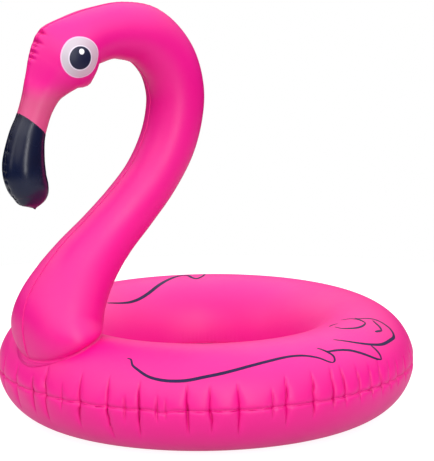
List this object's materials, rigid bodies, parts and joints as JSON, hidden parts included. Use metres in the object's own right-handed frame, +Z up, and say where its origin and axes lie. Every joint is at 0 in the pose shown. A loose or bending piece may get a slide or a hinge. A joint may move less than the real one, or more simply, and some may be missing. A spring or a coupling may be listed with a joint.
{
  "type": "inflatable pool float",
  "caption": "Inflatable flamingo-shaped swim ring with an upright curved neck, head and beak, and capped air valves that push in.",
  "frame": {"origin": "on the surface that the float rests on, under the middle of its bounding box", "axes": "+Z up, the bird looks along -Y, and its left side is +X"},
  "size_m": [1.008, 1.0419, 1.0237],
  "materials": {
    "ring_film": "satin inflated vinyl",
    "neck_film": "satin inflated vinyl",
    "beak_film": "glossy inflated vinyl",
    "valve_vinyl": "soft moulded vinyl"
  },
  "bodies": {
    "float": {"ring_top_sheet": "ring_film", "ring_bottom_sheet": "ring_film", "neck_left_panel": "neck_film", "neck_right_panel": "neck_film", "neck_base_panel": "neck_film", "beak_left_panel": "beak_film", "beak_right_panel": "beak_film", "ring_valve_flange": "valve_vinyl", "neck_valve_flange": "valve_vinyl"},
    "ring_valve_stem_body": {"ring_valve_stem": "valve_vinyl"},
    "ring_valve_plug_body": {"ring_valve_plug": "valve_vinyl", "ring_valve_tether": "valve_vinyl"},
    "ring_valve_flap_body": {"ring_valve_check_flap": "valve_vinyl"},
    "neck_valve_stem_body": {"neck_valve_stem": "valve_vinyl"},
    "neck_valve_plug_body": {"neck_valve_plug": "valve_vinyl", "neck_valve_tether": "valve_vinyl"},
    "neck_valve_flap_body": {"neck_valve_check_flap": "valve_vinyl"}
  },
  "joints": [
    {"name": "ring_valve_push_in", "type": "slide", "parent": "float", "child": "ring_valve_stem_body", "axis": [-0.866, 0, 0.5], "range_m": [-0.0065, 0]},
    {"name": "ring_valve_plug_open", "type": "hinge", "parent": "ring_valve_stem_body", "child": "ring_valve_plug_body", "pos_m": [-0.49272, 0.0045, 0.18893], "axis": [0.5, 0, 0.866], "range_deg": [0, 160]},
    {"name": "ring_valve_flap_open", "type": "hinge", "parent": "ring_valve_stem_body", "child": "ring_valve_flap_body", "pos_m": [-0.47306, 0.0263, 0.17758], "axis": [0.5, 0, 0.866], "range_deg": [0, 50], "stiffness_Nm_per_rad": 0.0003},
    {"name": "neck_valve_push_in", "type": "slide", "parent": "float", "child": "neck_valve_stem_body", "axis": [-1, 0, 0], "range_m": [-0.0065, 0]},
    {"name": "neck_valve_plug_open", "type": "hinge", "parent": "neck_valve_stem_body", "child": "neck_valve_plug_body", "pos_m": [-0.07559, -0.15956, 0.55264], "axis": [0, -0.7346, 0.6785], "range_deg": [0, 160]},
    {"name": "neck_valve_flap_open", "type": "hinge", "parent": "neck_valve_stem_body", "child": "neck_valve_flap_body", "pos_m": [-0.05289, -0.14477, 0.56866], "axis": [0, -0.7346, 0.6785], "range_deg": [0, 50], "stiffness_Nm_per_rad": 0.0003}
  ]
}
